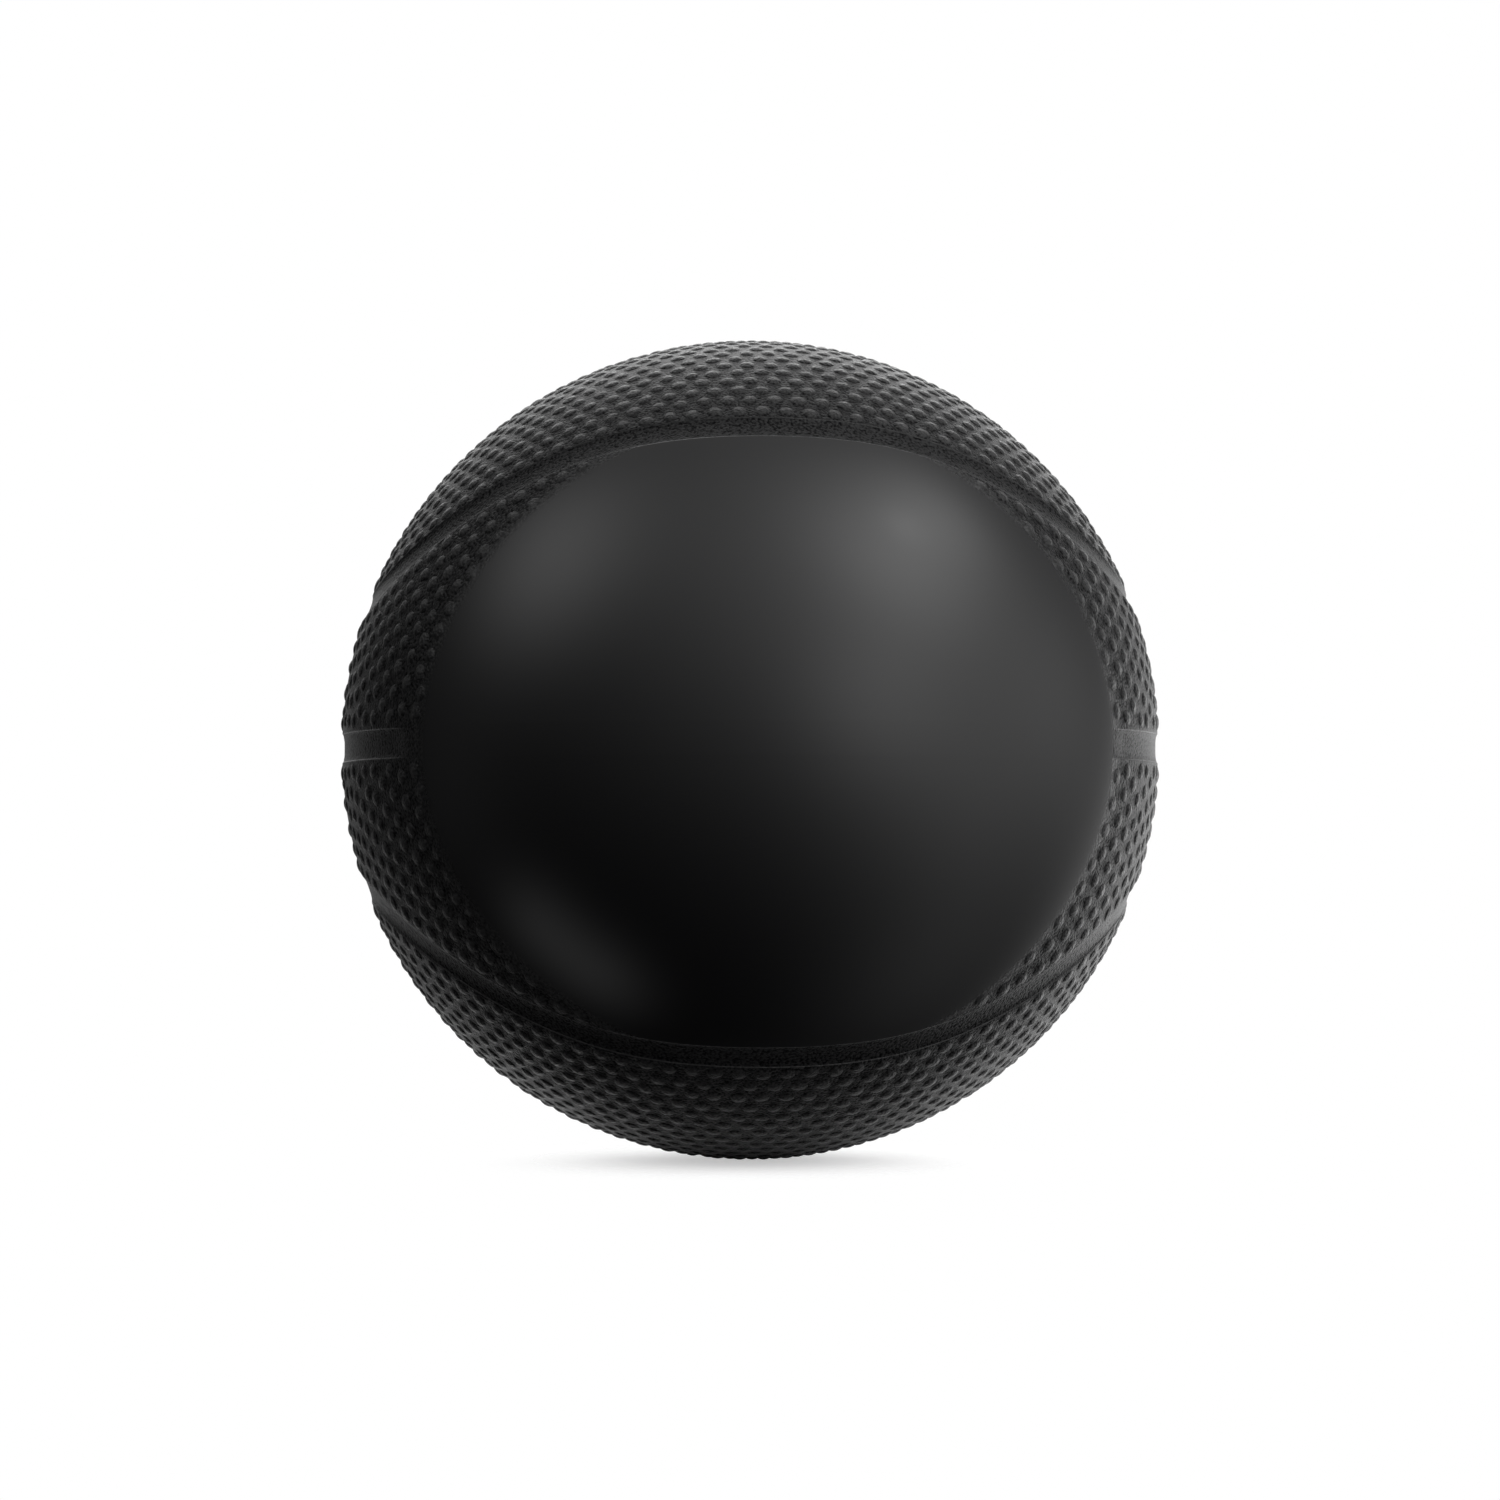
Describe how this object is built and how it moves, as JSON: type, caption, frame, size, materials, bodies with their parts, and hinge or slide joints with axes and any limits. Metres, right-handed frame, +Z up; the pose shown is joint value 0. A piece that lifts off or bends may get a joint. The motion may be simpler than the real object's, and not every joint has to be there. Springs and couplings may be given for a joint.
{
  "type": "mini basketball",
  "caption": "Small inflatable basketball: pebbled black rubber cover with sunk channels and a smooth oval imprint zone, over a wound carcass, bladder and needle valve.",
  "frame": {"origin": "centre of the ball", "axes": "+Z up, the smooth imprint zone faces -Y, the valve opens to +Y at the back"},
  "size_m": [0.1268, 0.1265, 0.127],
  "materials": {
    "cover_rubber": "semi-gloss moulded black rubber, pebbled, with a smooth satin imprint zone",
    "channel_rubber": "smooth matt black rubber",
    "carcass_rubber": "plain black rubber",
    "winding_thread": "off-white nylon thread set in latex",
    "bladder_rubber": "smooth butyl rubber",
    "valve_rubber": "smooth soft black rubber",
    "core_rubber": "smooth soft black rubber"
  },
  "bodies": {
    "ball": {"bladder": "bladder_rubber", "valve_patch": "bladder_rubber", "valve_body": "valve_rubber", "winding": "winding_thread", "carcass": "carcass_rubber", "front_panel": "cover_rubber", "back_upper_panel": "cover_rubber", "back_lower_panel": "cover_rubber", "crown_front_panel": "cover_rubber", "crown_back_panel": "cover_rubber", "base_front_panel": "cover_rubber", "base_back_panel": "cover_rubber", "meridian_channel": "channel_rubber", "equator_channel_back": "channel_rubber", "equator_channel_left": "channel_rubber", "equator_channel_right": "channel_rubber", "upper_loop_front": "channel_rubber", "upper_loop_back": "channel_rubber", "lower_loop_front": "channel_rubber", "lower_loop_back": "channel_rubber"},
    "core": {"valve_core": "core_rubber"}
  },
  "joints": [
    {"name": "core_pull", "type": "slide", "parent": "ball", "child": "core", "axis": [0, 1, 0], "range_m": [0, 0.022]}
  ]
}
